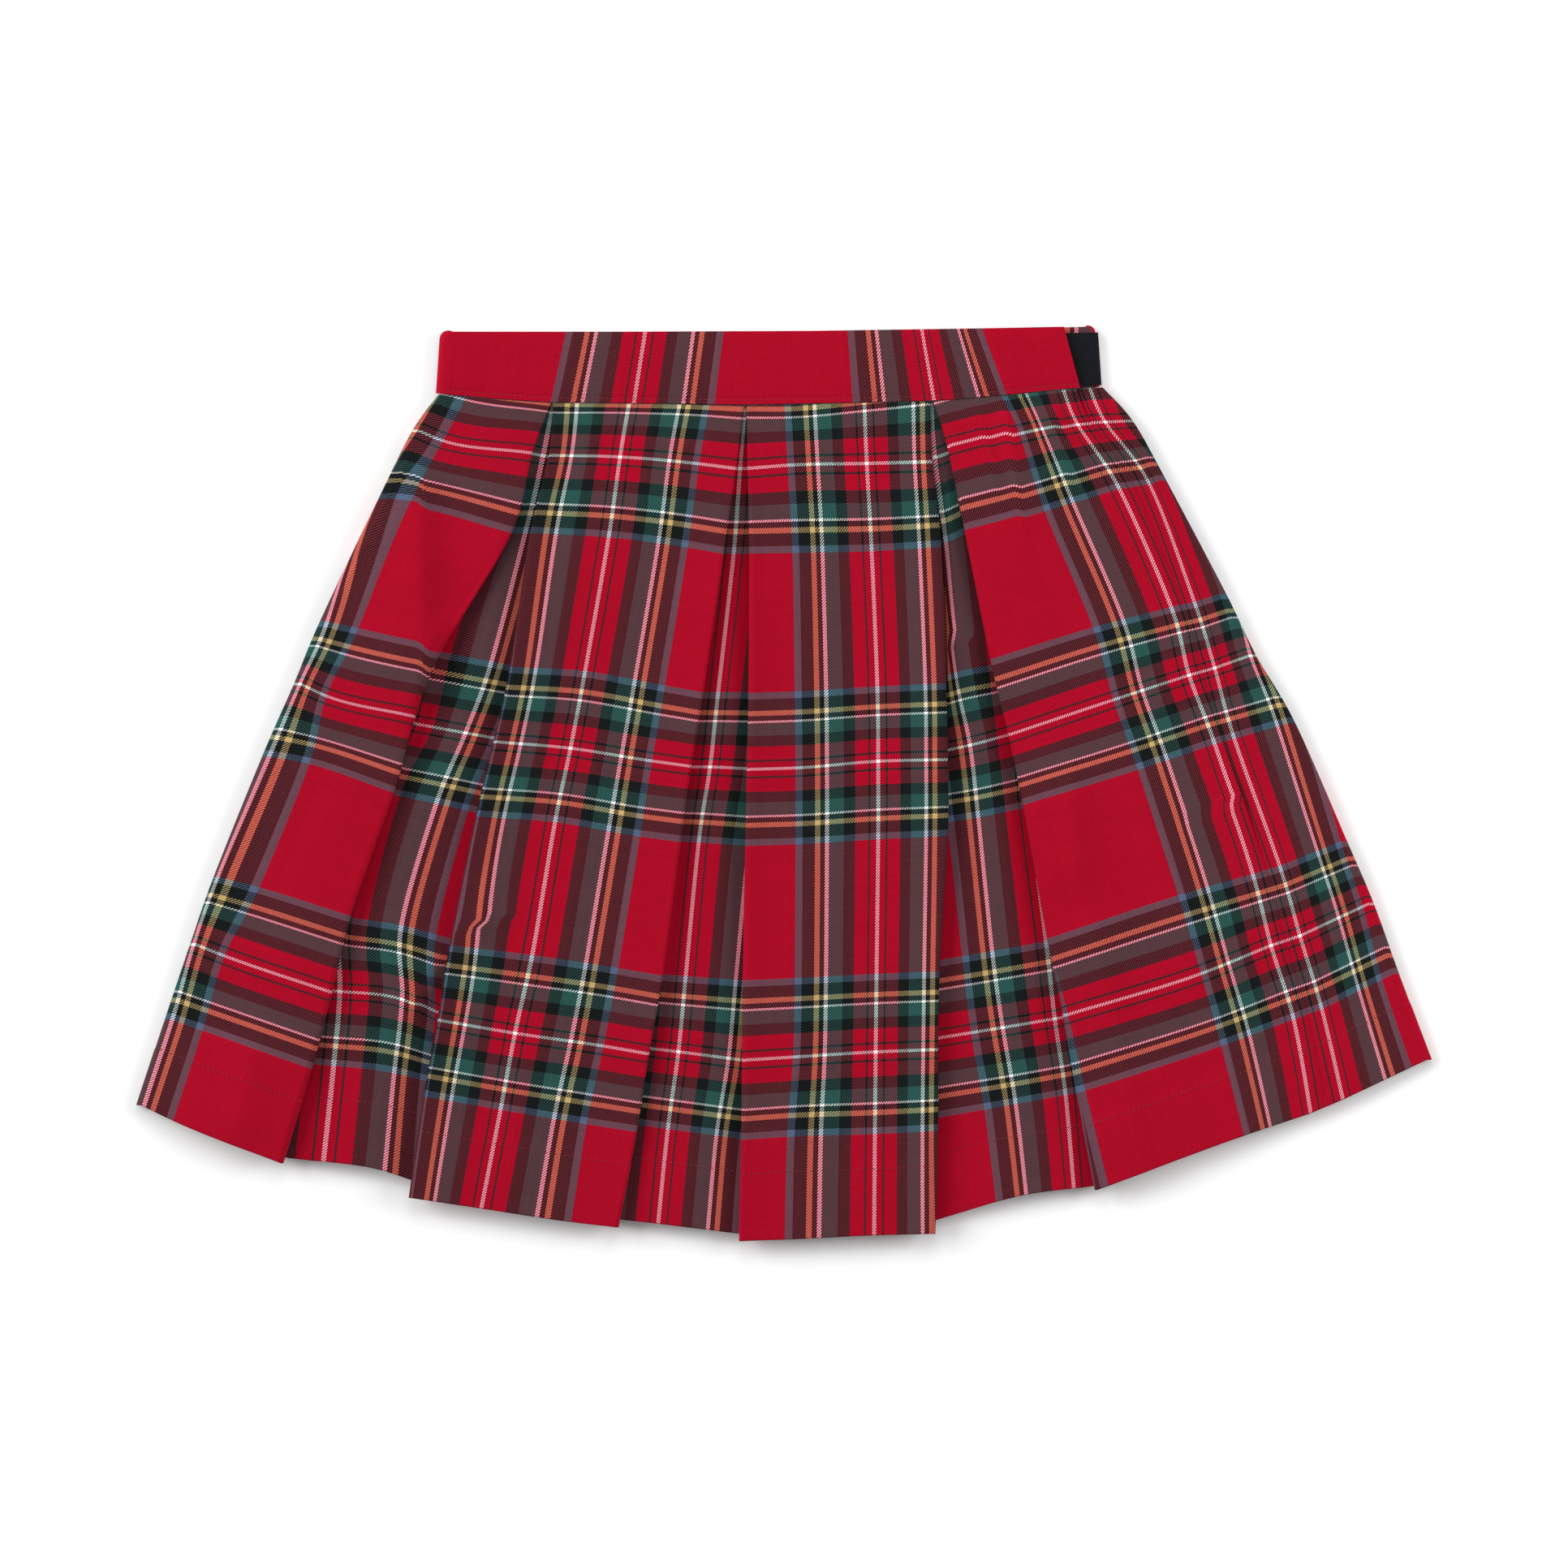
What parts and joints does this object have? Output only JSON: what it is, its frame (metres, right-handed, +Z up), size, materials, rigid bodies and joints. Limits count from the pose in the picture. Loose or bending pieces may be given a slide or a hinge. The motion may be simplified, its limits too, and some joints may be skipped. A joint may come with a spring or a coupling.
{
  "type": "pleated skirt laid flat",
  "caption": "Short tartan skirt laid flat, with box pleats opening from a plain waistband and black touch-fastening tape on the underlap.",
  "frame": {"origin": "under the middle of the laid skirt's outline, on the surface that it lies on", "axes": "+X across the skirt to the right as seen from above, +Y towards the waistband, +Z up from the surface"},
  "size_m": [0.6548, 0.4608, 0.01],
  "materials": {
    "front_tartan": "matte twill",
    "back_tartan": "matte twill",
    "band_tartan": "matte twill",
    "black_tape": "matte hooks and loops"
  },
  "bodies": {
    "root": {"front_skirt": "front_tartan", "back_skirt": "back_tartan", "waistband": "band_tartan", "fastening_tape": "black_tape"}
  },
  "joints": []
}
